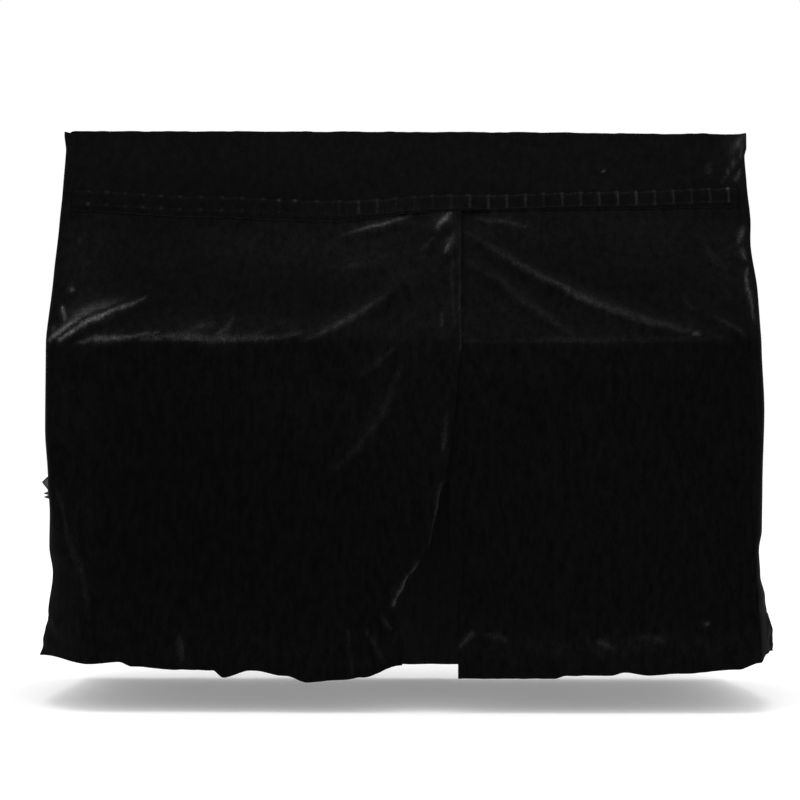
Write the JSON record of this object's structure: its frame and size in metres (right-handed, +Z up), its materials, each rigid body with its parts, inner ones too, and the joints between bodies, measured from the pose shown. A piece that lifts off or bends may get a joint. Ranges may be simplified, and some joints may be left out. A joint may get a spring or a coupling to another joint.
{
  "type": "fitted piano cover",
  "caption": "Hollow full-length fitted cover in black velvet for an upright piano, with a pleated strip and two overlapping front curtains.",
  "frame": {"origin": "middle of the underside of the top panel, where the cover rests on the top of what it covers", "axes": "+Z up, the front with the slit faces -Y, +X to the viewer's right along the width"},
  "size_m": [1.5946, 0.6672, 1.2211],
  "materials": {
    "top_velvet": "black cotton velvet, short pile",
    "band_velvet": "black cotton velvet, short pile",
    "strip_velvet": "black velvet, pleated and stitched",
    "curtain_velvet": "black cotton velvet, short pile",
    "side_velvet": "black cotton velvet, short pile",
    "back_velvet": "black cotton velvet, short pile",
    "tie_ribbon": "grey satin ribbon"
  },
  "bodies": {
    "root": {"lid_panel": "top_velvet", "front_band": "band_velvet", "pleated_strip": "strip_velvet", "front_curtain_left": "curtain_velvet", "front_curtain_right": "curtain_velvet", "side_panel_left": "side_velvet", "side_panel_right": "side_velvet", "back_panel": "back_velvet", "side_tie": "tie_ribbon"}
  },
  "joints": []
}
